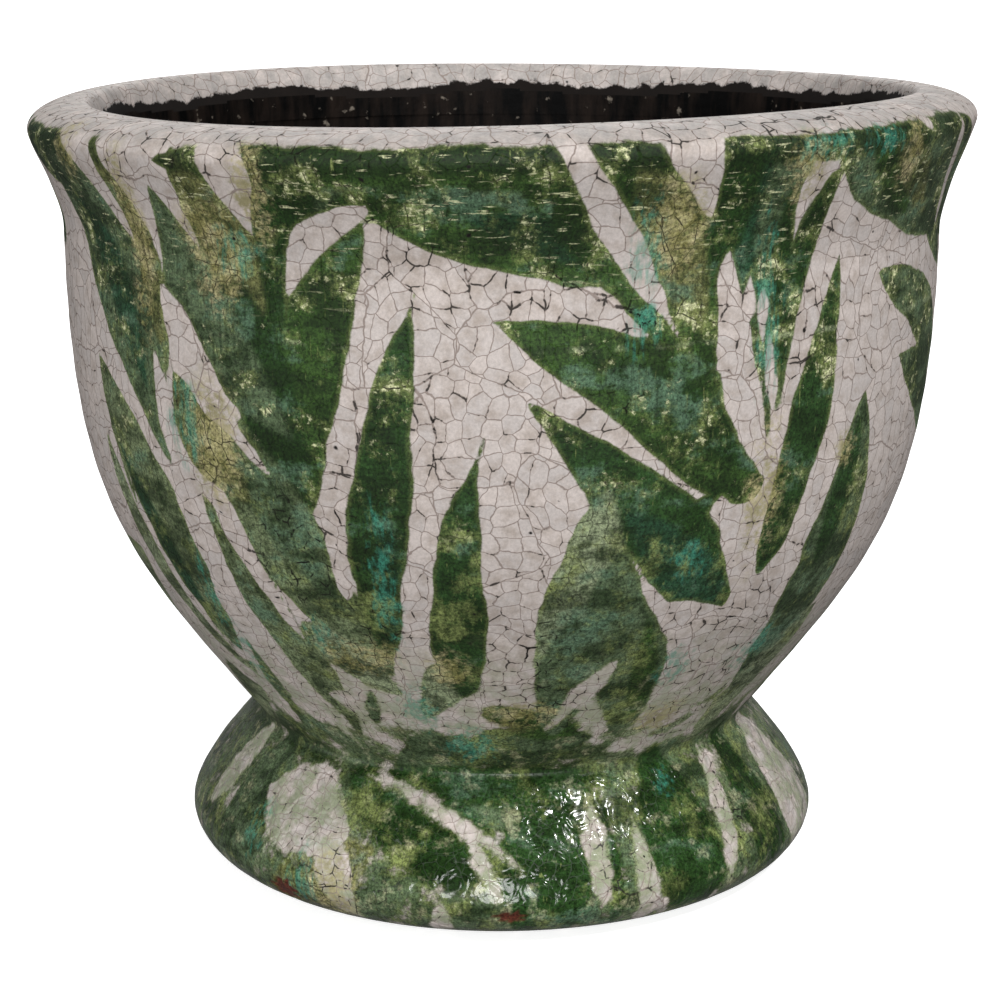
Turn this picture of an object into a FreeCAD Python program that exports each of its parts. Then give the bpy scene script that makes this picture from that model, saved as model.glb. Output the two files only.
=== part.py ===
"""Urn planter: a thrown clay bowl with a rolled rim, luted to a hollow flared foot, then glazed.

Every piece is turned about the Z axis. The origin is on the floor, under the centre of the foot.
Lengths are in millimetres, and a profile point is (radius, height).
"""
import FreeCAD, Part
import math
import os

# Foot: hollow pedestal that stands on a narrow ring
FOOT_HEIGHT = 49.0            # floor to the seat that carries the bowl
WAIST_RADIUS = 83.4           # outer edge of that seat, the narrowest part of the urn
SEAT_WIDTH = 16.0             # width of the ring on which the bowl is luted
FOOT_FLARE = 24.0             # how far the fullest part stands out beyond the waist
FOOT_FULL_HEIGHT = 14.0       # height of the fullest part
BASE_TUCK = 14.4              # how far the standing ring tucks in under the fullest part
BASE_RING_WIDTH = 10.0        # width of the standing ring
FOOT_WALL = 14.0              # wall thickness at the fullest part
BARE_BAND = 2.0               # height of the wiped, unglazed band above the floor
FOOT_SLOPE = 47.0             # degrees above the horizon where the flare meets the waist

# Bowl: wall and floor thrown in one, with a drain hole
BOWL_HEIGHT = 164.0           # seam at the waist to the seam under the rim
NECK_RADIUS = 143.6           # outer radius under the rim
WALL = 11.0                   # wall thickness
FLOOR = 13.0                  # floor thickness
FLOOR_SWEEP = 22.0            # radius over which the floor sweeps up into the wall
BOWL_SLOPE = 53.0             # degrees above the horizon where the wall leaves the waist
HOLE_RADIUS = 11.0            # drain hole

# Rim: thick rolled lip, laid on the wall as a coil
RIM_HEIGHT = 42.0             # seam to the crest
RIM_FLARE = 10.5              # how far the lip stands out beyond the neck
RIM_EDGE_DROP = 7.4           # crest down to the widest point of the lip
RIM_BAND = 18.0               # crest down to the lower edge of the glaze inside the lip
CREST_REACH = 4.5             # inner wall out to the crest

# Slip, glaze and coating
SLIP = 1.0                    # thickness of the luting slip in both seams
GLAZE = 0.9                   # thickness of the crackle glaze
GLAZE_POOL = 1.3              # thickness of the glaze that pools in the waist
POOL_REACH = 4.0              # how far the pooled glaze reaches along the foot and the bowl
COAT = 0.5                    # thickness of the dark sealing coat inside

# Rubber stopper in the drain hole
STOPPER_CLEARANCE = 0.3       # radial gap between stem and hole
STEM_TAPER = 1.0              # how much narrower the stem is at its lower end
STEM_PROUD = 3.0              # how far the stem reaches below the bowl
FLANGE_LAP = 6.0              # how far the flange laps over the floor
FLANGE_THICKNESS = 3.0
KNOB_NECK_RADIUS = 4.0
KNOB_NECK_HEIGHT = 3.0
KNOB_RADIUS = 6.5
KNOB_HEIGHT = 7.0

# Shape of the curves: handle lengths as shares of the stretch that each handle bends
ROUND = 0.5523                # handle share that makes a quarter turn round
FOOT_FULL_HANDLE = 0.25
FOOT_WAIST_HANDLE = 0.26
BELLY_HANDLE = 0.445
WALL_HANDLE = 0.565
LIP_NECK_HANDLE = 0.36
LIP_EDGE_HANDLE = 0.10
OFFSET_POINTS = 25            # points that carry a curve to its parallel

SEAT_Z = FOOT_HEIGHT + SLIP
FLOOR_Z = SEAT_Z + FLOOR
NECK_Z = SEAT_Z + BOWL_HEIGHT
RIM_Z = NECK_Z + SLIP
CREST_Z = RIM_Z + RIM_HEIGHT
BAND_Z = CREST_Z - RIM_BAND
INNER_RADIUS = NECK_RADIUS - WALL
FOOT_RADIUS = WAIST_RADIUS + FOOT_FLARE
BASE_RADIUS = FOOT_RADIUS - BASE_TUCK


def point(radius, height):
    """A point of the profile, in the XZ plane."""
    return FreeCAD.Vector(radius, 0, height)


def line(start, end):
    return Part.LineSegment(start, end)


def bezier(*poles):
    curve = Part.BezierCurve()
    curve.setPoles(list(poles))
    return curve


def quarter(start, corner, end):
    """A quarter of an ellipse from start to end, bulging towards the corner."""
    return bezier(start, start + (corner - start) * ROUND, end + (corner - end) * ROUND, end)


def spline(points, start_tangent, end_tangent):
    """A smooth curve through points, with the given directions at its ends."""
    curve = Part.BSplineCurve()
    curve.interpolate(Points=points, InitialTangent=start_tangent, FinalTangent=end_tangent, Scale=False)
    return curve


def left_of(tangent):
    """The direction to the left of a tangent, seen with the radius to the right and height up."""
    return FreeCAD.Vector(-tangent.z, 0, tangent.x).normalize()


def offset_points(curve, distance, start):
    """Points of the parallel to curve, at a distance to its left, from a start parameter to its end."""
    last = curve.LastParameter
    steps = [start + (last - start) * i / (OFFSET_POINTS - 1) for i in range(OFFSET_POINTS)]
    return [curve.value(u) + left_of(curve.tangent(u)[0]) * distance for u in steps]


def parallel(curve, distance, skipped=0.0):
    """The parallel to curve, at a distance to its left, without a skipped length at its start."""
    start = curve.parameterAtDistance(skipped, curve.FirstParameter)
    points = offset_points(curve, distance, start)
    if isinstance(curve, Part.LineSegment):
        return line(points[0], points[-1])
    return spline(points, curve.tangent(start)[0], curve.tangent(curve.LastParameter)[0])


def turned(curves):
    """The solid that a closed run of curves sweeps about the Z axis."""
    face = Part.Face(Part.Wire([curve.toShape() for curve in curves]))
    solid = face.revolve(FreeCAD.Vector(0, 0, 0), FreeCAD.Vector(0, 0, 1), 360)
    return Part.Solid(solid) if solid.ShapeType == "Shell" else solid


def ends(curves):
    """First and last point of a run of curves."""
    return curves[0].value(curves[0].FirstParameter), curves[-1].value(curves[-1].LastParameter)


def turn_round(curve):
    """The same curve, run the other way."""
    other = curve.copy()
    other.reverse()
    return other


def between(inner, outer):
    """The solid between two runs of curves that go the same way."""
    inner_start, inner_end = ends(inner)
    outer_start, outer_end = ends(outer)
    back = [turn_round(curve) for curve in outer[::-1]]
    return turned(inner + [line(inner_end, outer_end)] + back + [line(outer_start, inner_start)])


def skin(curves, thickness):
    """A thin coat that lies on a run of curves, to their left."""
    return between(curves, [parallel(curve, thickness) for curve in curves])


def pooled(curve, thickness, pool):
    """The parallel to curve on its left, with a fillet at its start that rises square from the pool point."""
    face = parallel(curve, thickness, POOL_REACH)
    face_start = ends([face])[0]
    reach = ROUND * abs(face_start.z - pool.z)
    rise = FreeCAD.Vector(0, 0, math.copysign(reach, face_start.z - pool.z))
    along = face.tangent(face.FirstParameter)[0] * reach
    return [bezier(pool, pool + rise, face_start - along, face_start), face]


def foot_outside():
    """Outline of the foot from the waist down to the bare band: a flare, then a rounded edge."""
    waist = point(WAIST_RADIUS, FOOT_HEIGHT)
    full = point(FOOT_RADIUS, FOOT_FULL_HEIGHT)
    tuck = point(BASE_RADIUS, BARE_BAND)
    flare_height = FOOT_HEIGHT - FOOT_FULL_HEIGHT
    slope = math.radians(FOOT_SLOPE)
    outward = FreeCAD.Vector(math.cos(slope), 0, -math.sin(slope))
    flare = bezier(
        waist,
        waist + outward * (FOOT_WAIST_HANDLE * flare_height),
        full + FreeCAD.Vector(0, 0, FOOT_FULL_HANDLE * flare_height),
        full,
    )
    return [flare, quarter(full, point(FOOT_RADIUS, BARE_BAND), tuck)]


def foot():
    """Clay pedestal, hollow underneath, standing on a flat ring."""
    outside = foot_outside()
    tuck = ends(outside)[1]
    ring_outer = point(BASE_RADIUS, 0)
    ring_inner = point(BASE_RADIUS - BASE_RING_WIDTH, 0)
    hollow_full = point(FOOT_RADIUS - FOOT_WALL, FOOT_FULL_HEIGHT)
    seat_inner = point(WAIST_RADIUS - SEAT_WIDTH, FOOT_HEIGHT)
    seat_outer = ends(outside)[0]
    return turned(outside + [
        line(tuck, ring_outer),
        line(ring_outer, ring_inner),
        line(ring_inner, hollow_full),
        line(hollow_full, seat_inner),
        line(seat_inner, seat_outer),
    ])


def washer(inner, outer, bottom, height):
    """A flat ring."""
    corners = [
        point(inner, bottom),
        point(outer, bottom),
        point(outer, bottom + height),
        point(inner, bottom + height),
    ]
    return turned([line(corners[i - 1], corners[i]) for i in range(len(corners))])


def waist_seam():
    """Luting slip between the foot and the bowl."""
    return washer(WAIST_RADIUS - SEAT_WIDTH, WAIST_RADIUS, FOOT_HEIGHT, SLIP)


def bowl_outside():
    """Outline of the bowl from the waist up to the neck."""
    waist = point(WAIST_RADIUS, SEAT_Z)
    neck = point(NECK_RADIUS, NECK_Z)
    slope = math.radians(BOWL_SLOPE)
    outward = FreeCAD.Vector(math.cos(slope), 0, math.sin(slope))
    return bezier(
        waist,
        waist + outward * (BELLY_HANDLE * BOWL_HEIGHT),
        neck - FreeCAD.Vector(0, 0, WALL_HANDLE * BOWL_HEIGHT),
        neck,
    )


def bowl_inside():
    """Inside of the bowl wall from the neck down: parallel to the outside, then swept into the floor."""
    outside = bowl_outside()
    points = offset_points(outside, WALL, outside.FirstParameter)
    wall = [p for p in points if p.z > FLOOR_Z + FLOOR_SWEEP / 2]
    sweep_start = point(wall[0].x - FLOOR_SWEEP, FLOOR_Z)
    outline = [sweep_start] + wall
    return spline(outline[::-1], FreeCAD.Vector(0, 0, -1), FreeCAD.Vector(-1, 0, 0))


def bowl_floor():
    """Top of the floor, from the sweep in to the drain hole."""
    return line(ends([bowl_inside()])[1], point(HOLE_RADIUS, FLOOR_Z))


def bowl():
    """Clay bowl with its floor and drain hole."""
    outside = bowl_outside()
    inside = [bowl_inside(), bowl_floor()]
    waist, neck = ends([outside])
    inner_neck, hole_top = ends(inside)
    hole_bottom = point(HOLE_RADIUS, SEAT_Z)
    return turned(
        [outside, line(neck, inner_neck)]
        + inside
        + [line(hole_top, hole_bottom), line(hole_bottom, waist)]
    )


def rim_seam():
    """Luting slip between the bowl wall and the rim coil."""
    return washer(INNER_RADIUS, NECK_RADIUS, NECK_Z, SLIP)


def rim_outside():
    """Outline of the lip from its seam, out to its widest point, over the crest and in to the glaze edge."""
    neck = point(NECK_RADIUS, RIM_Z)
    edge = point(NECK_RADIUS + RIM_FLARE, CREST_Z - RIM_EDGE_DROP)
    crest = point(INNER_RADIUS + CREST_REACH, CREST_Z)
    band = point(INNER_RADIUS, BAND_Z)
    flare_height = edge.z - neck.z
    flare = bezier(
        neck,
        neck + FreeCAD.Vector(0, 0, LIP_NECK_HANDLE * flare_height),
        edge - FreeCAD.Vector(0, 0, LIP_EDGE_HANDLE * flare_height),
        edge,
    )
    over = quarter(edge, point(edge.x, crest.z), crest)
    under = quarter(crest, point(band.x, crest.z), band)
    return [flare, over, under]


def rim_inside():
    """Plain inner face of the coil, from the glaze edge down to the seam."""
    return line(point(INNER_RADIUS, BAND_Z), point(INNER_RADIUS, RIM_Z))


def rim_coil():
    """Clay coil that makes the rolled lip."""
    outline = rim_outside() + [rim_inside()]
    neck, inner_neck = ends(outline)
    return turned(outline + [line(inner_neck, neck)])


def rim_glaze():
    """Glaze over the lip, from a band inside to the middle of the seam outside."""
    lip = [turn_round(curve) for curve in rim_outside()[::-1]]
    seam_half = line(point(NECK_RADIUS, RIM_Z), point(NECK_RADIUS, NECK_Z + SLIP / 2))
    return skin(lip + [seam_half], GLAZE)


def bowl_glaze():
    """Glaze on the outside of the bowl, from the middle of one seam to the middle of the other."""
    wall = bowl_outside()
    low = point(WAIST_RADIUS, FOOT_HEIGHT + SLIP / 2)
    high = point(NECK_RADIUS, NECK_Z + SLIP / 2)
    waist, neck = ends([wall])
    pool = low + FreeCAD.Vector(GLAZE_POOL, 0, 0)
    face = pooled(wall, -GLAZE, pool)
    top = high + FreeCAD.Vector(GLAZE, 0, 0)
    return between(
        [line(low, waist), wall, line(neck, high)],
        face + [line(ends(face)[1], top)],
    )


def foot_glaze():
    """Glaze on the outside of the foot, from the middle of the waist seam down to the bare band."""
    flare, edge = foot_outside()
    high = point(WAIST_RADIUS, FOOT_HEIGHT + SLIP / 2)
    waist = ends([flare])[0]
    pool = high + FreeCAD.Vector(GLAZE_POOL, 0, 0)
    return between(
        [line(high, waist), flare, edge],
        pooled(flare, GLAZE, pool) + [parallel(edge, GLAZE)],
    )


def inner_coat():
    """Dark sealing coat inside, from the glaze edge down over the floor to the drain hole."""
    seam_face = line(point(INNER_RADIUS, RIM_Z), point(INNER_RADIUS, NECK_Z))
    return skin([rim_inside(), seam_face, bowl_inside(), bowl_floor()], -COAT)


def drain_stopper():
    """Rubber bung: a tapered stem in the drain hole, a flange on the floor and a knob to pull it by."""
    flange_z = FLOOR_Z + COAT
    flange_top = flange_z + FLANGE_THICKNESS
    knob_z = flange_top + KNOB_NECK_HEIGHT
    stem_radius = HOLE_RADIUS - STOPPER_CLEARANCE
    stem_end = point(stem_radius - STEM_TAPER, SEAT_Z - STEM_PROUD)
    stem_top = point(stem_radius, flange_z)
    flange_under = point(HOLE_RADIUS + FLANGE_LAP, flange_z)
    flange_edge = point(HOLE_RADIUS + FLANGE_LAP, flange_z + FLANGE_THICKNESS / 2)
    flange_round = point(HOLE_RADIUS + FLANGE_LAP - FLANGE_THICKNESS / 2, flange_top)
    neck_foot = point(KNOB_NECK_RADIUS, flange_top)
    neck_head = point(KNOB_NECK_RADIUS, knob_z)
    knob_side = point(KNOB_RADIUS, knob_z + KNOB_HEIGHT / 2)
    knob_top = point(0, knob_z + KNOB_HEIGHT)
    stem_centre = point(0, stem_end.z)
    return turned([
        line(stem_centre, stem_end),
        line(stem_end, stem_top),
        line(stem_top, flange_under),
        line(flange_under, flange_edge),
        quarter(flange_edge, point(flange_edge.x, flange_top), flange_round),
        line(flange_round, neck_foot),
        line(neck_foot, neck_head),
        quarter(neck_head, point(knob_side.x, neck_head.z), knob_side),
        quarter(knob_side, point(knob_side.x, knob_top.z), knob_top),
        line(knob_top, stem_centre),
    ])


PIECES = [
    foot,
    waist_seam,
    bowl,
    rim_seam,
    rim_coil,
    rim_glaze,
    bowl_glaze,
    foot_glaze,
    inner_coat,
    drain_stopper,
]

os.makedirs("parts", exist_ok=True)
for make in PIECES:
    piece = make()
    piece.exportStep(f"parts/{make.__name__}.step")
    print(f"{make.__name__}: valid {piece.isValid()}, {piece.Volume / 1000:.1f} cm3")
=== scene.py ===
"""Urn planter: the looks of the packed clay pot, in metres, in the part's own frame.

Sizes in the sections are millimetres and angles are degrees around the Z axis: 0 faces the camera and
angles grow to the right. A profile point is (radius, height).
"""

import math

import bpy
import numpy as np
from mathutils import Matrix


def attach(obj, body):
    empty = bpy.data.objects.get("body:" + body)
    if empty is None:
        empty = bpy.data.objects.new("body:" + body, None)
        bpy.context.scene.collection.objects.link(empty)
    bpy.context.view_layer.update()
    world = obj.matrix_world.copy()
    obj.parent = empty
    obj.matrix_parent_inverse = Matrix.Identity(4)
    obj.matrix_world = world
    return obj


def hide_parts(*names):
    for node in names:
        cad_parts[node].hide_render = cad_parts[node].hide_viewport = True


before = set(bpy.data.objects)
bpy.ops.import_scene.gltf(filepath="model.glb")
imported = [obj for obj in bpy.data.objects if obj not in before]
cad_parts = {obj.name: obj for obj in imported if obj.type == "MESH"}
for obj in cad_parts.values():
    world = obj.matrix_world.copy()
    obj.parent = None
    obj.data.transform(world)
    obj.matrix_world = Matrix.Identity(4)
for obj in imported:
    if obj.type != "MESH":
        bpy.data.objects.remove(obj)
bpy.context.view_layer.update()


# Foot and bowl: two thrown sections of red earthenware, fired and left bare under the glaze.
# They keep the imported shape. The clay shows on the standing ring, in the hollow under the bowl
# and wherever the glaze has chipped.
CLAY = "#8a4b36"
CLAY_PALE = "#b07a5c"
CLAY_DARK = "#5b2f22"
GROG_GRAIN = 1.6          # crushed fired clay in the body, the size of coarse sand
THROWING_RING = 5.0       # height of one finger groove


def linear(colour):
    """An sRGB hex colour as linear red, green and blue, with full alpha."""
    channels = np.array([int(colour[i:i + 2], 16) for i in (1, 3, 5)]) / 255
    curved = ((channels + 0.055) / 1.055) ** 2.4
    return (*np.where(channels > 0.04045, curved, channels / 12.92), 1.0)


def add(tree, kind, inputs=None, **settings):
    """A new node with its settings. An input takes a value, a socket, or the first output of a node."""
    node = tree.nodes.new(kind)
    for name, value in settings.items():
        setattr(node, name, value)
    for key, value in (inputs or {}).items():
        if isinstance(value, bpy.types.Node):
            tree.links.new(value.outputs[0], node.inputs[key])
        elif isinstance(value, bpy.types.NodeSocket):
            tree.links.new(value, node.inputs[key])
        else:
            node.inputs[key].default_value = value
    return node


def new_material(name):
    """An empty material, its node tree and its shader."""
    material = bpy.data.materials.new(name)
    material.use_nodes = True
    return material, material.node_tree, material.node_tree.nodes["Principled BSDF"]


# Red earthenware: matt, speckled with grog, with faint finger grooves that run around the pot
clay, tree, shader = new_material("red_earthenware")
place = add(tree, "ShaderNodeTexCoord").outputs["Object"]
cloud = add(tree, "ShaderNodeTexNoise", {"Vector": place, "Scale": 1000 / 24, "Detail": 4.0})
grog = add(tree, "ShaderNodeTexNoise", {"Vector": place, "Scale": 1000 / GROG_GRAIN, "Detail": 2.0})
grains = add(tree, "ShaderNodeMapRange", {"Value": grog, "From Min": 0.58, "From Max": 0.70})
rings = add(
    tree, "ShaderNodeTexWave", {"Vector": place, "Scale": 1000 / THROWING_RING / 20, "Distortion": 1.2},
    bands_direction="Z",
)
body = add(tree, "ShaderNodeMixRGB", {0: cloud, 1: linear(CLAY_DARK), 2: linear(CLAY)})
speckled = add(tree, "ShaderNodeMixRGB", {0: grains, 1: body, 2: linear(CLAY_PALE)})
grooves = add(tree, "ShaderNodeMath", {0: rings, 1: 0.6, 2: grog}, operation="MULTIPLY_ADD")
relief = add(tree, "ShaderNodeBump", {"Height": grooves, "Strength": 0.5, "Distance": 0.0006})
tree.links.new(speckled.outputs[0], shader.inputs["Base Color"])
tree.links.new(relief.outputs[0], shader.inputs["Normal"])
shader.inputs["Roughness"].default_value = 0.88
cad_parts["foot"].material_slots[0].material = clay
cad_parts["bowl"].material_slots[0].material = clay


# Slip seams: creamy liquid clay that glues foot, bowl and rim together before firing.
# It dries finer and paler than the body, and the glaze hides most of it.
SLIP = "#a4745a"
SLIP_DARK = "#7c5140"

slip, tree, shader = new_material("fired_luting_slip")
place = add(tree, "ShaderNodeTexCoord").outputs["Object"]
cloud = add(tree, "ShaderNodeTexNoise", {"Vector": place, "Scale": 1000 / 9, "Detail": 5.0})
dried = add(tree, "ShaderNodeMixRGB", {0: cloud, 1: linear(SLIP_DARK), 2: linear(SLIP)})
relief = add(tree, "ShaderNodeBump", {"Height": cloud, "Strength": 0.4, "Distance": 0.0004})
tree.links.new(dried.outputs[0], shader.inputs["Base Color"])
tree.links.new(relief.outputs[0], shader.inputs["Normal"])
shader.inputs["Roughness"].default_value = 0.8
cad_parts["waist_seam"].material_slots[0].material = slip
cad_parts["rim_seam"].material_slots[0].material = slip


# Rim coil: a rolled lip of the same clay, laid on the wall by hand, so it isn't quite level.
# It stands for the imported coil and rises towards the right, most of all on the camera side.
COLUMNS = 704             # steps around the pot
DRUM = 130.0              # radius of the drum that patterns are unrolled on
ROUND = 0.5523            # handle share that makes a quarter turn round
NECK = (143.6, 215.0)     # seam with the wall
LIP_EDGE = (154.1, 249.6)
CREST = (137.1, 257.0)
LIP_INSIDE = (132.6, 239.0)
INNER_WALL = (132.6, 215.0)
LIP_TILT = 0.011          # rise per millimetre to the right
LIP_TILT_NEAR = 1.3       # share of it that the near side gains and the far side loses


def bezier(*poles):
    """A dense cubic curve through its first and last pole, pulled towards the two in between."""
    t = np.linspace(0, 1, 200)[:, None]
    a, b, c, d = np.array(poles, float)
    return a * (1 - t) ** 3 + 3 * b * t * (1 - t) ** 2 + 3 * c * t * t * (1 - t) + d * t ** 3


def quarter(start, corner, end):
    """A quarter of an ellipse from start to end, bulging towards the corner."""
    start, corner, end = np.array([start, corner, end], float)
    return bezier(start, start + (corner - start) * ROUND, end + (corner - end) * ROUND, end)


def along(path):
    """Length along a path of points, from its start to each point."""
    return np.append(0, np.cumsum(np.hypot(*np.diff(path, axis=0).T)))


def even(path, count):
    """The same path in evenly spaced points, with one more close to each end to keep its edges crisp."""
    reach = along(path)
    total = reach[-1]
    stops = np.sort(np.append(np.linspace(0, total, count - 2), [0.04, total - 0.04]))
    return np.stack([np.interp(stops, reach, path[:, 0]), np.interp(stops, reach, path[:, 1])], axis=-1)


def lip_outline():
    """The coil from the seam outside, out to the lip's edge, over the crest and in to the glaze line."""
    rise = LIP_EDGE[1] - NECK[1]
    flare = bezier(NECK, (NECK[0], NECK[1] + 0.36 * rise), (LIP_EDGE[0], LIP_EDGE[1] - 0.1 * rise), LIP_EDGE)
    over = quarter(LIP_EDGE, (LIP_EDGE[0], CREST[1]), CREST)
    under = quarter(CREST, (LIP_INSIDE[0], CREST[1]), LIP_INSIDE)
    return np.vstack([flare, over[1:], under[1:]])


def column_angles():
    """Angle of each column in degrees, from the left side around the front, the right and the back."""
    return np.arange(COLUMNS) * 360 / COLUMNS - 90


def lip_lift(radius, height):
    """How far the hand-laid lip rises: fully at its edge, and not at all at the seam and at the coat.

    It is the tilt times the distance to the right, more on the near side, times a smooth step of the height.
    """
    angle = np.radians(column_angles())
    near = 1 + LIP_TILT_NEAR * np.cos(angle)
    level = np.where(radius < CREST[0], LIP_INSIDE[1], NECK[1])
    grown = np.clip((height - level) / (LIP_EDGE[1] - level), 0, 1)
    return LIP_TILT * radius * np.sin(angle) * near * grown ** 2 * (3 - 2 * grown)


def unrolled(rows):
    """Height of each profile row once the pot is unrolled onto a drum, so that a round cell stays round.

    Each step along the profile is stretched by the drum's radius over the step's own radius.
    """
    steps = np.hypot(*np.diff(rows, axis=0).T) * 2 * DRUM / (rows[1:, 0] + rows[:-1, 0])
    return np.append(0, np.cumsum(steps))


def ring_piece(name, radius, height, rise, **paint):
    """A closed skin around the Z axis. Each row of the grids is one turn, and the last row joins the first.

    A vertex is at (radius * sin angle, -radius * cos angle, height), in metres. The OFBake map shows the half
    turn at the front below the one at the back. The unrolled map is the drum in millimetres, with its seam at
    the back and the given rise of each row. Each painted grid becomes an attribute of the same name.
    """
    rows = len(radius)
    angle = np.radians(column_angles())
    points = np.stack([radius * np.sin(angle), -radius * np.cos(angle), height], axis=-1) / 1000
    here = np.arange(rows * COLUMNS).reshape(rows, COLUMNS)
    right = np.roll(here, -1, axis=1)
    faces = np.stack([here, right, np.roll(right, -1, axis=0), np.roll(here, -1, axis=0)], axis=-1)
    mesh = bpy.data.meshes.new(name)
    mesh.from_pydata(points.reshape(-1, 3).tolist(), [], faces.reshape(-1, 4).tolist())
    half = COLUMNS // 2
    column = np.arange(COLUMNS)
    u = (column[:, None] % half + np.array([0, 1, 1, 0])) / half
    v = (np.arange(rows)[:, None] + np.array([0, 0, 1, 1])) / rows
    unwrapped = np.empty((rows, COLUMNS, 4, 2))
    unwrapped[..., 0] = u
    unwrapped[..., 1] = (v[:, None] * 0.99 + column[:, None] // half) / 2
    mesh.uv_layers.new(name="OFBake").data.foreach_set("uv", unwrapped.ravel())
    turn = (column_angles()[:, None] + 180) % 360 - 180 + np.array([0, 1, 1, 0]) * 360 / COLUMNS
    unwrapped[..., 0] = DRUM * np.radians(turn)
    unwrapped[..., 1] = np.append(rise, rise[-1])[np.arange(rows)[:, None] + np.array([0, 0, 1, 1])][:, None]
    mesh.uv_layers.new(name="unrolled").data.foreach_set("uv", unwrapped.ravel())
    for key, grid in paint.items():
        kind, field = ("FLOAT_COLOR", "color") if grid.ndim == 3 else ("FLOAT", "value")
        mesh.attributes.new(key, kind, "POINT").data.foreach_set(field, grid.ravel())
    mesh.shade_smooth()
    piece = bpy.data.objects.new(name, mesh)
    bpy.context.scene.collection.objects.link(piece)
    return piece


coil_loop = np.vstack([even(lip_outline(), 60), even(np.array([INNER_WALL, NECK]), 4)])
coil_radius, coil_height = np.repeat(coil_loop.T[:, :, None], COLUMNS, axis=2)
coil_lifted = coil_height + lip_lift(coil_radius, coil_height)
rim_coil = ring_piece("rolled_rim", coil_radius, coil_lifted, unrolled(coil_loop))
rim_coil.data.materials.append(clay)
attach(rim_coil, "pot")
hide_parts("rim_coil")


# Inner coat: a dark, tarry wash brushed over the inside to seal it, from under the lip to the drain hole.
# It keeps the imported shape. Brush streaks run down it, and its lumps are scuffed pale.
WASH = "#1f1814"
WASH_DARK = "#020202"
WASH_PALE = "#8d8478"

tarry_wash, tree, shader = new_material("tarry_sealing_wash")
place = add(tree, "ShaderNodeTexCoord").outputs["Object"]
# Streaks about 6 mm wide and 33 mm long
runs = add(tree, "ShaderNodeMapping", {"Vector": place, "Scale": (160, 160, 30)})
streaks = add(tree, "ShaderNodeTexNoise", {"Vector": runs, "Scale": 1.0, "Detail": 5.0, "Roughness": 0.6})
lumps = add(tree, "ShaderNodeTexNoise", {"Vector": place, "Scale": 1000 / 4, "Detail": 4.0})
scuffs = add(
    tree, "ShaderNodeMapRange", {"Value": lumps, "From Min": 0.66, "From Max": 0.74, "To Max": 0.6},
)
brushed = add(tree, "ShaderNodeMapRange", {"Value": streaks, "From Min": 0.4, "From Max": 0.68})
body = add(tree, "ShaderNodeMixRGB", {0: brushed, 1: linear(WASH_DARK), 2: linear(WASH)})
scuffed = add(tree, "ShaderNodeMixRGB", {0: scuffs, 1: body, 2: linear(WASH_PALE)})
relief = add(tree, "ShaderNodeBump", {"Height": lumps, "Strength": 0.7, "Distance": 0.0008})
tree.links.new(scuffed.outputs[0], shader.inputs["Base Color"])
tree.links.new(relief.outputs[0], shader.inputs["Normal"])
shader.inputs["Roughness"].default_value = 0.7
shader.inputs["Specular IOR Level"].default_value = 0.08
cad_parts["inner_coat"].material_slots[0].material = tarry_wash


# Bowl glaze: a white crackle glaze over brushed copper greens, poured over the outside of the bowl.
# Lance-shaped leaves cross the wall, some brushed in green and some left white where wax kept the green off.
GLAZE = 0.9
POOL = 1.3                # thickness of the glaze that pools in the waist
POOL_REACH = 4.0
WAIST = (83.4, 50.0)
WAIST_Z = 49.5            # middle of the waist seam, where foot and bowl glaze meet
NECK_Z = 214.5            # middle of the rim seam, where bowl and rim glaze meet
WALL_TOP = (143.6, 214.0)
WALL_RISE = WALL_TOP[1] - WAIST[1]
WALL_LEAN = math.radians(53)
WALL_LOW_PULL = 0.445 * WALL_RISE
WALL_TOP_PULL = 0.565 * WALL_RISE
MM_PER_DEGREE = 2.27      # one degree on the drum
TAPER = 1.7               # how fast a leaf narrows to its ends
GREEN_TOP = 254.5         # the green stops a little way over the lip's edge
WASH_TOP = 64.0           # a thin grey green covers the foot and the bottom of the bowl up to here
# The band under the lip is deeper green and also painted shade from the overhanging lip
LIP_SHADE_FROM = 243.0         # from here up, under the lip, the green is darkest
LOOSE_BELOW = 110.0       # lower down the brush skipped more and more
LOOSE_FADE = 45.0         # height over which that grows to the full
GLASSY_BELOW = 52.0
LIP_GREY_FROM = 251.0        # the top of the lip is greyed in patches from here on
PAINT_EDGE = 1.6          # width over which one green gives way to the next

# Pigments of the leaves, from copper and iron under the glaze
DARK = "#213b16"
FOREST = "#29451f"
BLUE = "#26462f"
MID = "#365022"
GREY = "#57684b"
SAGE = "#75825f"
OLIVE = "#6d6f44"
PALE = "#8d9877"
WHITE = None

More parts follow.
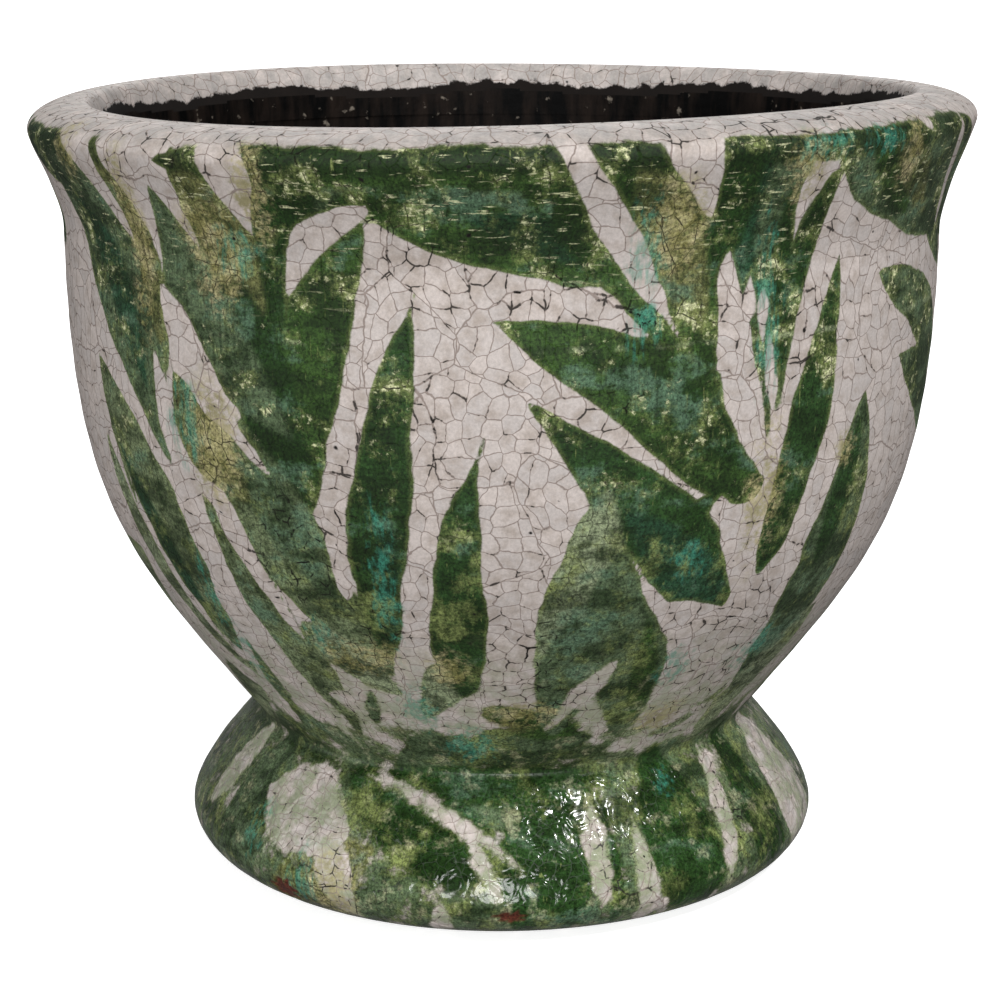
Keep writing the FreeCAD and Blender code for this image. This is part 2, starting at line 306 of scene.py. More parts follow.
# Leaves in painting order: base angle, base height, tip angle, tip height, width, bow to the left,
# share of the length at which it is widest, and pigment; a white leaf is wax that keeps the green off
LEAVES = [
    # Top mass, banded under the lip
    (-40, 249, 20, 248, 26, 0, 0.5, DARK),
    (-38, 246, 16, 238, 22, 0, 0.5, MID),
    (-32, 240, 16, 236, 9, 0, 0.5, GREY),
    (-17, 240, 14.5, 213, 18, 2, 0.42, MID),
    (2, 244, 16, 211, 16, 0, 0.5, MID),
    (-4, 234, 14, 218, 11, 2, 0.5, BLUE),
    (5, 234, 21, 195, 8, 0, 0.4, DARK),
    # Broad left spray
    (-27, 190, -37.5, 253, 22, 0, 0.45, OLIVE),
    (-25, 138, -14.8, 244, 26, 8, 0.5, MID),
    (-24, 150, -31, 212, 20, 2, 0.5, DARK),
    (-25, 168, -42, 241, 21, 8, 0.5, GREY),
    (-36, 176, -15.5, 86, 27, -2, 0.45, SAGE),
    (-33, 172, -21, 112, 14, -2, 0.4, GREY),
    (-32, 146, -42.5, 184, 17, 3, 0.5, OLIVE),
    (-32.5, 270, -28, 225, 14, 0, 0.4, WHITE),
    (-26.6, 244, -26.6, 196, 9, 0, 0.4, DARK),
    (-26.5, 206, -19, 250, 13, 4, 0.5, DARK),
    # Left side
    (-78, 264, -58, 236, 24, 0, 0.5, BLUE),
    (-44.5, 154, -68, 266, 29, -6, 0.5, GREY),
    (-48, 176, -62, 236, 12, -5, 0.5, BLUE),
    (-43.5, 182, -52, 258, 9, -3, 0.5, OLIVE),
    (-44, 210, -28.5, 156, 11, -3, 0.35, WHITE),
    (-46, 192, -43, 138, 6, 0, 0.5, WHITE),
    (-62, 194, -45, 146, 10, 3, 0.3, WHITE),
    (-46, 88, -60, 183, 25, -6, 0.45, SAGE),
    (-49, 96, -58, 158, 10, -4, 0.4, BLUE),
    (-48, 80, -61, 156, 13, 4, 0.4, PALE),
    (-84, 60, -62, 118, 34, 5, 0.5, PALE),
    (-66, 46, -46, 84, 20, 3, 0.5, PALE),
    (-47, 78, -57, 152, 4, 2, 0.5, WHITE),
    (-60, 84, -45, 72, 9, 2, 0.5, WHITE),
    (-28, 60, -40, 147, 18, -3, 0.45, SAGE),
    (-38, 151, -29.5, 100, 8, 0, 0.35, WHITE),
    (-42, 72, -40, 146, 6, 3, 0.5, WHITE),
    (-43, 98, -30, 54, 9, 3, 0.45, WHITE),
    (-43.5, 52, -42.5, 95, 9, 0, 0.4, GREY),
    # White slips beside the centre
    (-25.2, 203, -14.6, 237, 9, 6.5, 0.65, WHITE),
    (-20.5, 118, -17.5, 188, 9.5, 1, 0.4, WHITE),
    (-29, 108, -16, 82, 15, 0, 0.5, PALE),
    (-30, 78, -14, 74, 14, 0, 0.5, WHITE),
    (-23.5, 68, -21.5, 84, 5, 0, 0.4, GREY),
    (-24, 50, -6, 66, 16, 0, 0.5, GREY),
    # Centre
    (-16.4, 96, -9.6, 213, 17.5, 3, 0.4, FOREST),
    (-15.8, 100, -13.5, 150, 9, 0, 0.4, BLUE),
    (-13, 74, -5, 100, 16, 0, 0.5, PALE),
    (-5, 84, -2, 171, 14, 5, 0.36, FOREST),
    (-6, 82, -5.5, 134, 18, 0, 0.5, FOREST),
    (-8, 62, 18, 64, 20, 0, 0.5, GREY),
    (-4, 77, 15, 67, 14, 0, 0.5, MID),
    (32.5, 149, -3, 206, 30, -8, 0.33, MID),
    (33, 156, 8, 196, 14, -3, 0.4, DARK),
    (31, 110, 3, 181, 25, -2, 0.34, FOREST),
    (30.5, 111, 14, 150, 17, 0, 0.4, BLUE),
    (19, 115, 34, 106, 11, 0, 0.5, WHITE),
    (35, 106, 27, 150, 9, -1, 0.5, WHITE),
    (22, 140, 27, 154, 8, 0, 0.3, DARK),
    (8.5, 70, 12.5, 156, 25, 1, 0.45, PALE),
    (9.5, 66, 10, 116, 19, 2, 0.4, GREY),
    (14, 92, 15, 136, 17, 0, 0.5, GREY),
    (22.5, 63, 16, 126, 25, 0, 0.4, GREY),
    (24, 70, 20, 112, 10, 0, 0.4, MID),
    (17, 96, 8, 69, 7, 0, 0.4, WHITE),
    (13, 82, 21, 62, 8, 0, 0.3, WHITE),
    (22, 58, 44, 76, 15, 0, 0.5, PALE),
    (23, 65, 45, 80, 12, 0, 0.5, WHITE),
    (22, 55, 48, 64, 12, 0, 0.5, PALE),
    (21, 57, 54, 70, 13, 0, 0.5, WHITE),
    (30, 60, 40, 66, 6, 0, 0.5, PALE),
    # Right side
    (8, 268, 24.5, 189, 27, -3, 0.5, MID),
    (13, 258, 24.5, 186, 20, 5, 0.45, MID),
    (14, 250, 23, 200, 16, 1, 0.5, OLIVE),
    (4, 266, 22.3, 191, 8, -1, 0.4, WHITE),
    (24, 254, 50, 251, 16, 0, 0.5, MID),
    (27, 268, 28, 200, 23, 0, 0.4, BLUE),
    (26, 262, 25, 206, 12, 0, 0.4, DARK),
    (31.5, 262, 34, 172, 15, 0, 0.4, GREY),
    (33, 240, 34.5, 176, 7, 0, 0.4, DARK),
    (28.3, 226, 33, 164, 10, -1, 0.45, BLUE),
    (16, 280, 23, 232, 14, 0, 0.45, WHITE),
    (33.8, 152, 26, 222, 11, 4, 0.52, WHITE),
    (29, 216, 29.2, 202, 2.4, 0, 0.5, WHITE),
    (31, 212, 31.2, 194, 2.6, 0, 0.5, WHITE),
    (32, 199, 33.3, 175, 4, 0, 0.5, WHITE),
    (33.3, 184, 40.5, 252, 8.5, 1.5, 0.5, DARK),
    (35, 220, 36, 244, 5, 1.5, 0.6, WHITE),
    (34, 237, 39, 243, 5, 2, 0.45, WHITE),
    (39.5, 253, 72, 214, 28, 0, 0.27, GREY),
    (43, 268, 56, 226, 22, 0, 0.45, MID),
    (48, 248, 66, 224, 12, 0, 0.5, OLIVE),
    (55, 264, 76, 204, 22, 0, 0.5, GREY),
    (61, 254, 82, 212, 24, 0, 0.5, GREY),
    (63, 262, 71, 216, 4.5, 1, 0.5, WHITE),
    (78, 172, 51, 211, 20, -4, 0.45, GREY),
    (80, 146, 57, 184, 18, -4, 0.45, GREY),
    (35.5, 122, 43, 218, 15.5, 0, 0.42, FOREST),
    (46.5, 66, 50, 175, 27, -1, 0.45, GREY),
    (47, 120, 49.5, 168, 11, 0, 0.45, FOREST),
    (44, 52, 55, 104, 20, 0, 0.5, PALE),
    (64, 60, 80, 112, 24, 0, 0.5, PALE),
    # Foot
    (-54.5, -4, -54.5, 54, 36, 0, 0.5, GREY),
    (-46, 0, -23, 28, 24, 0, 0.5, OLIVE),
    (-34, 46, 6, 18, 26, 2, 0.5, FOREST),
    (-22, 48, 26, 46, 13, 0, 0.5, FOREST),
    (-18, 2, 3, 18, 17, 0, 0.5, GREY),
    (7, -6, 8, 54, 38, 0, 0.5, FOREST),
    (19.5, 0, 20, 46, 8, 0, 0.5, FOREST),
    (35, -6, 34, 56, 38, 0, 0.5, FOREST),
    (55, -8, 57, 56, 24, 0, 0.5, DARK),
    (-52, 36, -29, 30, 24, 0, 0.5, WHITE),
    (-34, 30, -24, 2, 13, 0, 0.4, WHITE),
    (-30, 46, 4, 24, 4, 5, 0.5, WHITE),
    (-6, 34, 0, 16, 6, 0, 0.5, WHITE),
    (-10, -2, -10, 15, 8, 0, 0.5, WHITE),
    (17, 12, 17.5, 43, 8, 0, 0.5, WHITE),
    (25, 0, 25.5, 36, 9, 0, 0.5, WHITE),
    (43, 12, 49, 48, 9, 0, 0.5, WHITE),
    (-70, 22, -64, 50, 16, 0, 0.5, WHITE),
    (70, -6, 72, 52, 36, 0, 0.5, WHITE),
]

# One spray for the back, with angles from its own stem, and where it is repeated: turn, side and lift
SPRAY = [
    (8, 266, 24, 214, 28, 2, 0.5, DARK),
    (-14, 256, 22, 246, 18, 0, 0.5, MID),
    (0, 62, -17, 132, 24, -5, 0.45, GREY),
    (2, 78, 19, 150, 22, 5, 0.45, BLUE),
    (0, 105, -19, 180, 22, -5, 0.45, MID),
    (3, 120, 20, 198, 21, 5, 0.45, DARK),
    (1, 150, -17, 228, 20, -4, 0.45, OLIVE),
    (4, 165, 15, 240, 18, 4, 0.45, MID),
    (2, 196, -10, 264, 19, -3, 0.45, GREY),
    (-1, 52, 6, 236, 6, 3, 0.3, WHITE),
    (-5, 100, -14, 140, 5, 0, 0.4, WHITE),
    (9, 140, 16, 178, 5, 0, 0.4, WHITE),
    (-12, 8, -2, 46, 22, 0, 0.5, MID),
    (6, 4, 14, 40, 20, 0, 0.5, GREY),
]
SPRAY_PLACES = [(100, 1, 0), (141, -1, 6), (182, 1, -6), (223, -1, 3), (262, 1, -2)]

# Blots of copper teal and of straw-coloured glaze: angle, height, half width and half height
TEAL = [
    (-41, 168, 6, 12), (-31, 222, 6, 9), (16, 224, 4, 12), (16, 202, 5, 7), (31, 214, 3, 18), (24, 130, 6, 6),
    (-26, 103, 6, 6), (-15, 124, 4, 20), (-13, 77, 8, 8), (-6, 62, 10, 7), (27, 92, 6, 7), (-37, 14, 6, 11),
    (-50, 24, 5, 8), (35, 43, 5, 4), (36, 250, 7, 6), (46, 250, 8, 5), (42, 92, 7, 8), (32, 196, 4, 14),
    (-45, 100, 5, 20), (105, 90, 9, 14), (150, 200, 6, 14), (186, 120, 8, 12), (228, 70, 10, 10),
    (255, 180, 5, 12), (120, 20, 10, 9), (210, 24, 9, 9),
]
STRAW = [
    (-34.5, 226, 8, 10), (-34, 214, 6, 9), (-37, 164, 8, 15), (19, 229, 7, 12), (33.5, 150, 5, 20),
    (-30, 14, 9, 11), (-21, 97, 11, 6), (-8, 95, 6, 6), (47, 158, 4, 5), (30, 68, 10, 6), (-47, 222, 4, 26),
    (-58, 250, 5, 8), (-27.5, 240, 4, 13), (34, 244, 5, 9), (4, 76, 12, 5), (52, 244, 4, 9),
    (96, 150, 6, 16), (138, 100, 7, 18), (176, 220, 8, 14), (220, 130, 6, 16), (262, 90, 8, 14),
]

# Hazy, bluish places in the green, and places where the cracks took up most soot, in the same form
HAZE = [
    (-6, 240, 28, 4), (4, 236, 10, 8), (-31, 203, 8, 10), (-26, 148, 14, 20), (18, 182, 8, 6),
    (24, 166, 8, 8), (-60, 196, 10, 30), (55, 238, 14, 10), (-36, 120, 14, 20), (10, 110, 10, 16),
    (-13, 136, 6, 12), (47, 100, 8, 20), (110, 190, 16, 16), (165, 150, 14, 20), (215, 180, 16, 16),
    (250, 110, 14, 16),
]
SOOTED = [
    (-12, 224, 16, 10), (2, 213, 30, 8), (15, 205, 24, 8), (-20, 150, 8, 26), (-8, 172, 6, 22),
    (4, 100, 16, 26), (-18, 108, 12, 12), (-26, 132, 20, 24), (37, 196, 8, 26), (12, 178, 12, 8),
    (34, 110, 16, 20), (-30, 254, 40, 9), (-28, 14, 24, 14), (20, 24, 14, 20), (48, 30, 10, 20),
    (38, 80, 20, 14), (8, 78, 20, 12), (-26, 74, 14, 10), (24, 258, 60, 8), (-60, 258, 40, 8),
    (130, 160, 20, 40), (190, 210, 20, 20), (240, 120, 20, 30),
]


def turn_between(angle, start):
    """Angle from a start, taken the short way round."""
    return (angle - start + 180) % 360 - 180


def leaf_depth(angle, height, leaf):
    """How deep a point lies inside a leaf, in millimetres; outside it is negative.

    A leaf's midline is its chord, bowed by a parabola. Its half width grows as a power of the share of the
    chord from the base, and falls as a power of the share left to the tip.
    """
    base_angle, base_height, tip_angle, tip_height, width, bow, widest, _ = leaf
    x = MM_PER_DEGREE * turn_between(angle, base_angle)
    z = height - base_height
    run_x = MM_PER_DEGREE * turn_between(tip_angle, base_angle)
    run_z = tip_height - base_height
    length = math.hypot(run_x, run_z)
    share = (x * run_x + z * run_z) / length ** 2
    aside = (z * run_x - x * run_z) / length
    inside = np.clip(share, 0, 1)
    growth = (inside / widest) ** (widest * TAPER)
    fall = ((1 - inside) / (1 - widest)) ** ((1 - widest) * TAPER)
    beyond = length * np.abs(share - inside)
    return width / 2 * growth * fall - np.abs(aside - 4 * bow * inside * (1 - inside)) - beyond


def blots(angle, height, spots):
    """Soft round blots: 1 at each centre, fading to 0 as a bell curve."""
    cover = np.zeros(angle.shape)
    for spot_angle, spot_height, wide, high in spots:
        x = MM_PER_DEGREE * turn_between(angle, spot_angle) / wide
        z = (height - spot_height) / high
        cover = np.maximum(cover, np.exp(-0.7 * (x * x + z * z)))
    return cover


def brushwork(height):
    """The painted grids of a glaze piece, for the painting height of each row.

    leaf is the depth inside the green in millimetres and pigment its colour, where each stroke covers the
    ones before it. teal, straw and soot are blots, and so is the haze grid. The haze grid also turns negative
    in the band under the lip, where it darkens the green as painted shade as well as deeper pigment. broken
    tells how much the brush skipped, gloss how glassy the glaze came out, and lip where the top of the lip is
    greyed; each sets in evenly with the height. inside and chip are blank until the rim and the foot fill
    them in.
    """
    angle, height = np.meshgrid(column_angles(), height)
    back = []
    for turn, side, lift in SPRAY_PLACES:
        for a, low, b, high, *rest in SPRAY:
            back.append((turn + side * a, low + lift, turn + side * b, high + lift, *rest))
    leaf = np.clip((WASH_TOP - height) / 4, -9, 1.5)
    pigment = np.zeros(angle.shape + (4,)) + linear(GREY)
    for stroke in back + LEAVES:
        depth = leaf_depth(angle, height, stroke)
        if stroke[-1] is WHITE:
            leaf = np.minimum(leaf, -depth)
        else:
            # On bare ground the colour reaches a little past the stroke, for edges that turn out ragged
            spread = (leaf <= -1) & (depth > -2)
            cover = np.where(spread, 1, np.clip(depth / PAINT_EDGE + 0.5, 0, 1))
            pigment += cover[..., None] * (np.array(linear(stroke[-1])) - pigment)
            leaf = np.maximum(leaf, depth)
    leaf = np.minimum(leaf, GREEN_TOP - height)
    return {
        "leaf": leaf,
        "pigment": pigment,
        "teal": blots(angle, height, TEAL),
        "straw": blots(angle, height, STRAW),
        # The haze grid also carries painted shade: it turns negative in the band under the lip and darkens
        # the green there
        "haze_and_lip_shade": blots(angle, height, HAZE) - 1.3 * np.clip((height - LIP_SHADE_FROM) / 4, 0, 1),
        "soot": blots(angle, height, SOOTED),
        "broken": np.clip((LOOSE_BELOW - height) / LOOSE_FADE, 0, 1),
        "gloss": np.clip((GLASSY_BELOW - height) / 6, 0, 1),
        "lip": np.clip((height - LIP_GREY_FROM) / 5, 0, 1),
        "inside": np.full(angle.shape, -9.0),
        "chip": np.zeros(angle.shape),
    }


def outward(path, thickness):
    """The parallel to a path, a thickness to the right of its direction."""
    lead = np.gradient(path, axis=0)
    lead = lead / np.hypot(lead[:, 0], lead[:, 1])[:, None]
    return path + thickness * np.stack([lead[:, 1], -lead[:, 0]], axis=-1)


def from_waist(face):
    """A glaze face from the waist on, its first stretch swapped for a fillet that leaves the pool upright."""
    kept = face[along(face) > POOL_REACH]
    pool = np.array([WAIST[0] + POOL, WAIST_Z])
    reach = ROUND * (kept[0][1] - pool[1])
    lead = (kept[1] - kept[0]) / np.hypot(*(kept[1] - kept[0]))
    return np.vstack([bezier(pool, pool + (0, reach), kept[0] - lead * abs(reach), kept[0]), kept[1:]])


def unevenness(angle, height):
    """Gentle waves of a hand-thrown wall, in millimetres: finger grooves that drift, and slow swells."""
    angle = np.radians(angle)
    grooves = np.cos(height / 2.4 + 0.9 * np.sin(angle) + 0.5 * np.sin(3 * angle + 1.0))
    swells = np.cos(3 * angle + height / 40) + np.cos(5 * angle - height / 23 + 2.0) + np.cos(2 * angle + 0.7)
    return 0.06 * grooves + 0.10 * swells


def glaze_shell(face, back):
    """The closed loop of a glaze, and its radius and height as grids.

    The face is as uneven as the thrown wall, and the back lies true on the clay.
    """
    loop = np.vstack([face, back])
    radius, height = np.repeat(loop.T[:, :, None], COLUMNS, axis=2)
    radius[:len(face)] += unevenness(column_angles(), height[:len(face)])
    return loop, radius, height


wall = bezier(
    WAIST,
    (WAIST[0] + WALL_LOW_PULL * math.cos(WALL_LEAN), WAIST[1] + WALL_LOW_PULL * math.sin(WALL_LEAN)),
    (WALL_TOP[0], WALL_TOP[1] - WALL_TOP_PULL),
    WALL_TOP,
)
wall_face = np.vstack([from_waist(outward(wall, GLAZE)), [(WALL_TOP[0] + GLAZE, NECK_Z)]])
wall_back = np.vstack([[(WALL_TOP[0], NECK_Z)], wall[::-1], [(WAIST[0], WAIST_Z)]])
face_rows = even(wall_face, 128)
loop, radius_grid, height_grid = glaze_shell(face_rows, even(wall_back, 8))
bowl_rise = unrolled(loop)
bowl_glaze = ring_piece("painted_bowl_glaze", radius_grid, height_grid, bowl_rise, **brushwork(loop[:, 1]))
neck_rise = bowl_rise[len(face_rows) - 1]

# Crackle glaze: glassy white, crazed into small cells whose cracks have taken up soot.
# Long curved cracks part it first, and shorter ones stop against them, so the short cracks are shifted at
# random from cell to cell of the long ones. Greens lie under the glass in brushed, flecked films.
WHITE_GLAZE = "#cdc2bc"
WHITE_COOL = "#c1b9b5"
STAIN = "#a79a90"
LIP_GREY = "#9d9894"
SOOT = "#8b7e77"
BLACK = "#120e0b"
GREEN_DEEP = "#15270b"
GREEN_BLUE = "#55715a"
GREEN_THIN = "#7f8a52"
CREAM = "#c3bf98"
FLECK = "#d2d3a8"
TEAL_GREEN = "#3d8a76"
STRAW_GLAZE = "#b9ae84"
STRAW_DARK = "#86814f"
LONG_CELL = 25.0          # millimetres between long cracks
SHORT_CELL = 5.2
BRUSH_LINE = 196.5        # height of a pale line that the brush left around the bowl

glaze, tree, shader = new_material("crackle_glaze_over_copper_green")
place = add(tree, "ShaderNodeTexCoord").outputs["Object"]
drum = add(tree, "ShaderNodeUVMap", uv_map="unrolled")
pigment = add(tree, "ShaderNodeAttribute", attribute_name="pigment").outputs["Color"]
leaf, teal, straw, haze_and_lip_shade, soot, broken, gloss, lip_top, inside, chip = (
    add(tree, "ShaderNodeAttribute", attribute_name=key).outputs["Fac"]
    for key in ("leaf", "teal", "straw", "haze_and_lip_shade", "soot", "broken", "gloss", "lip", "inside", "chip")
)

# Crack net on the unrolled drum, thick and black in sooty places
wander = add(
    tree, "ShaderNodeTexNoise", {"Vector": drum, "Scale": 1 / 24, "Detail": 3.0, "Roughness": 0.45},
    noise_dimensions="2D",
)
drift = add(
    tree, "ShaderNodeVectorMath", {0: wander.outputs["Color"], 1: (12.0,) * 3, 2: drum},
    operation="MULTIPLY_ADD",
)
grime = add(
    tree, "ShaderNodeTexNoise", {"Vector": drum, "Scale": 1 / 5, "Detail": 3.0, "Roughness": 0.6},
    noise_dimensions="2D",
)
taken_up = add(tree, "ShaderNodeMath", {0: soot, 1: 0.13, 2: grime}, operation="MULTIPLY_ADD")
sooty = add(
    tree, "ShaderNodeMapRange", {"Value": taken_up, "From Min": 0.62, "From Max": 0.70},
    interpolation_type="SMOOTHSTEP",
)
jag = add(
    tree, "ShaderNodeTexNoise", {"Vector": drum, "Scale": 1 / 1.6, "Detail": 1.0}, noise_dimensions="2D",
)
crack_lines = []
tiles = add(
    tree, "ShaderNodeVectorMath", {0: jag.outputs["Color"], 1: (0.45,) * 3, 2: drift},
    operation="MULTIPLY_ADD",
)
for cell, width in ((LONG_CELL, 0.24), (SHORT_CELL, 0.19)):
    edge = add(
        tree, "ShaderNodeTexVoronoi", {"Vector": tiles, "Scale": 1 / cell, "Randomness": 0.65},
        feature="DISTANCE_TO_EDGE", voronoi_dimensions="2D",
    )
    share = width / cell
    reach = add(tree, "ShaderNodeMapRange", {"Value": sooty, "To Min": share, "To Max": 1.65 * share})
    nearness = add(tree, "ShaderNodeMath", {0: edge, 1: reach}, operation="DIVIDE")
    line = add(
        tree, "ShaderNodeMapRange",
        {"Value": nearness, "From Min": 0.4, "From Max": 1.2, "To Min": 1.0, "To Max": 0.0},
        interpolation_type="SMOOTHSTEP",
    )
    crack_lines.append(line)
    cells = add(
        tree, "ShaderNodeTexVoronoi", {"Vector": tiles, "Scale": 1 / cell, "Randomness": 0.65},
        voronoi_dimensions="2D",
    )
    tiles = add(
        tree, "ShaderNodeVectorMath", {0: cells.outputs["Color"], 1: (300.0,) * 3, 2: tiles},
        operation="MULTIPLY_ADD",
    )
cracks = add(tree, "ShaderNodeMath", {0: crack_lines[0], 1: crack_lines[1]}, operation="MAXIMUM")

# Pits where gas left the glaze
hole = add(tree, "ShaderNodeTexVoronoi", {"Vector": drift, "Scale": 1 / 13.0}, voronoi_dimensions="2D")
chance = add(tree, "ShaderNodeSeparateColor", {0: hole.outputs["Color"]})
hole_size = add(
    tree, "ShaderNodeMapRange",
    {"Value": chance.outputs[0], "From Min": 0.65, "From Max": 1.0, "To Min": 0.0, "To Max": 0.055},
)
hole_depth = add(tree, "ShaderNodeMath", {0: hole_size, 1: hole}, operation="SUBTRACT")
holes = add(tree, "ShaderNodeMapRange", {"Value": hole_depth, "From Min": 0.0, "From Max": 0.03})

# White ground: each cell a slightly different tone, stains around sooty cracks, a pale green murk low down
# and grey patches on top of the lip
ragged = add(
    tree, "ShaderNodeTexNoise", {"Vector": place, "Scale": 1000 / 8, "Detail": 6.0, "Roughness": 0.66},
)
stray = add(tree, "ShaderNodeMath", {0: ragged, 1: 0.5}, operation="SUBTRACT")
cell_tone = add(tree, "ShaderNodeSeparateColor", {0: cells.outputs["Color"]})
ground = add(
    tree, "ShaderNodeMixRGB", {0: cell_tone.outputs[1], 1: linear(WHITE_GLAZE), 2: linear(WHITE_COOL)},
)
stain = add(
    tree, "ShaderNodeMapRange", {"Value": taken_up, "From Min": 0.46, "From Max": 0.76, "To Max": 0.75},
)
ground = add(tree, "ShaderNodeMixRGB", {0: stain, 1: ground, 2: linear(STAIN)})
murk = add(tree, "ShaderNodeMapRange", {"Value": ragged, "From Min": 0.4, "From Max": 0.58, "To Max": 0.8})
low_murk = add(tree, "ShaderNodeMath", {0: murk, 1: broken}, operation="MULTIPLY")
ground = add(tree, "ShaderNodeMixRGB", {0: low_murk, 1: ground, 2: linear(PALE)})
# The top of the lip is greyed in patches
lip_grey_patches = add(tree, "ShaderNodeMapRange", {"Value": ragged, "From Min": 0.35, "From Max": 0.65, "To Min": 0.1})
lip_greying = add(tree, "ShaderNodeMath", {0: lip_grey_patches, 1: lip_top}, operation="MULTIPLY")
ground = add(tree, "ShaderNodeMixRGB", {0: lip_greying, 1: ground, 2: linear(LIP_GREY)})

# Green films, laid with a flat brush: level sweeps of deep and bluish green, about 38 mm by 11 mm, a dark
# band under the lip that is deeper pigment and also painted shade under the overhang, thin yellowish places,
# and upright bristle strokes 1.6 mm wide. Cream flecks of 2 to 3 mm cluster on the upper wall, level dashes
# 1 mm high lie near its top, cream shows low down, and a pale line runs where the brush was lifted.
level = add(tree, "ShaderNodeMapping", {"Vector": place, "Scale": (26, 26, 90)})
sweeps = add(tree, "ShaderNodeTexNoise", {"Vector": level, "Scale": 1.0, "Detail": 5.0, "Roughness": 0.6})
upright = add(tree, "ShaderNodeMapping", {"Vector": place, "Scale": (620, 620, 70)})
strokes = add(tree, "ShaderNodeTexNoise", {"Vector": upright, "Scale": 1.0, "Detail": 3.0, "Roughness": 0.6})
patches = add(
    tree, "ShaderNodeTexNoise", {"Vector": place, "Scale": 1000 / 15, "Detail": 8.0, "Roughness": 0.7},
)
deep = add(
    tree, "ShaderNodeMapRange", {"Value": sweeps, "From Min": 0.53, "From Max": 0.4, "To Max": 0.75},
    interpolation_type="SMOOTHSTEP",
)
film = add(tree, "ShaderNodeMixRGB", {0: deep, 1: pigment, 2: linear(GREEN_DEEP)})
uneven = add(tree, "ShaderNodeMath", {0: stray, 1: 0.8, 2: sweeps}, operation="MULTIPLY_ADD")
# Painted shade under the overhanging lip, together with deeper pigment: the green darkens towards GREEN_DEEP
# where the haze grid is negative
painted_lip_shade = add(tree, "ShaderNodeMapRange", {"Value": haze_and_lip_shade, "From Min": 0.0, "From Max": -1.3, "To Max": 0.85})
film = add(tree, "ShaderNodeMixRGB", {0: painted_lip_shade, 1: film, 2: linear(GREEN_DEEP)})
veil = add(tree, "ShaderNodeMath", {0: haze_and_lip_shade, 1: 0.14, 2: uneven}, operation="MULTIPLY_ADD")
bluish = add(
    tree, "ShaderNodeMapRange", {"Value": veil, "From Min": 0.56, "From Max": 0.74, "To Max": 0.8},
    interpolation_type="SMOOTHSTEP",
)
film = add(tree, "ShaderNodeMixRGB", {0: bluish, 1: film, 2: linear(GREEN_BLUE)})
thin = add(
    tree, "ShaderNodeMapRange", {"Value": patches, "From Min": 0.5, "From Max": 0.66, "To Max": 0.85},
    interpolation_type="SMOOTHSTEP",
)
film = add(tree, "ShaderNodeMixRGB", {0: thin, 1: film, 2: linear(GREEN_THIN)})
thick = add(
    tree, "ShaderNodeMapRange", {"Value": ragged, "From Min": 0.5, "From Max": 0.37, "To Max": 0.7},
    interpolation_type="SMOOTHSTEP",
)
film = add(tree, "ShaderNodeMixRGB", {0: thick, 1: film, 2: linear(GREEN_DEEP)})
bristle = add(
    tree, "ShaderNodeMapRange", {"Value": strokes, "From Min": 0.5, "From Max": 0.66, "To Max": 0.5},
)
film = add(tree, "ShaderNodeMixRGB", {0: bristle, 1: film, 2: linear(GREEN_DEEP)})
drips = add(
    tree, "ShaderNodeMapRange", {"Value": strokes, "From Min": 0.34, "From Max": 0.24, "To Max": 0.7},
)
film = add(tree, "ShaderNodeMixRGB", {0: drips, 1: film, 2: linear(GREEN_THIN)})
flat = add(tree, "ShaderNodeMapping", {"Vector": place, "Scale": (360, 360, 480)})
specks = add(tree, "ShaderNodeTexNoise", {"Vector": flat, "Scale": 1.0, "Detail": 3.0, "Roughness": 0.7})
cluster = add(tree, "ShaderNodeMath", {0: patches, 1: 1.5, 2: specks}, operation="MULTIPLY_ADD")
spot = add(tree, "ShaderNodeSeparateXYZ", {0: place})
upper = add(
    tree, "ShaderNodeMapRange",
    {"Value": spot.outputs[2], "From Min": 0.13, "From Max": 0.17, "To Max": 0.85},
)
fleck = add(tree, "ShaderNodeMapRange", {"Value": cluster, "From Min": 1.4, "From Max": 1.56})
flecks = add(tree, "ShaderNodeMath", {0: fleck, 1: upper}, operation="MULTIPLY")
film = add(tree, "ShaderNodeMixRGB", {0: flecks, 1: film, 2: linear(FLECK)})
dashed = add(tree, "ShaderNodeMapping", {"Vector": place, "Scale": (150, 150, 1000)})
hairs = add(tree, "ShaderNodeTexNoise", {"Vector": dashed, "Scale": 1.0, "Detail": 2.0})
dash = add(tree, "ShaderNodeMapRange", {"Value": hairs, "From Min": 0.63, "From Max": 0.7})
topmost = add(
    tree, "ShaderNodeMapRange",
    {"Value": spot.outputs[2], "From Min": 0.2, "From Max": 0.235, "To Max": 0.65},
)
dashes = add(tree, "ShaderNodeMath", {0: dash, 1: topmost}, operation="MULTIPLY")
film = add(tree, "ShaderNodeMixRGB", {0: dashes, 1: film, 2: linear(FLECK)})
creamy = add(
    tree, "ShaderNodeMapRange", {"Value": ragged, "From Min": 0.54, "From Max": 0.68, "To Max": 0.4},
    interpolation_type="SMOOTHSTEP",
)
low_cream = add(tree, "ShaderNodeMath", {0: creamy, 1: broken}, operation="MULTIPLY")
film = add(tree, "ShaderNodeMixRGB", {0: low_cream, 1: film, 2: linear(CREAM)})
from_line = add(tree, "ShaderNodeMath", {0: spot.outputs[2], 1: BRUSH_LINE / 1000}, operation="SUBTRACT")
line_gap = add(tree, "ShaderNodeMath", {0: from_line}, operation="ABSOLUTE")
brush_line = add(
    tree, "ShaderNodeMapRange",
    {"Value": line_gap, "From Min": 0.0003, "From Max": 0.0012, "To Min": 0.6, "To Max": 0.0},
)
pressed = add(tree, "ShaderNodeMapRange", {"Value": patches, "From Min": 0.48, "From Max": 0.6})
broken_line = add(tree, "ShaderNodeMath", {0: brush_line, 1: pressed}, operation="MULTIPLY")
film = add(tree, "ShaderNodeMixRGB", {0: broken_line, 1: film, 2: linear(PALE)})

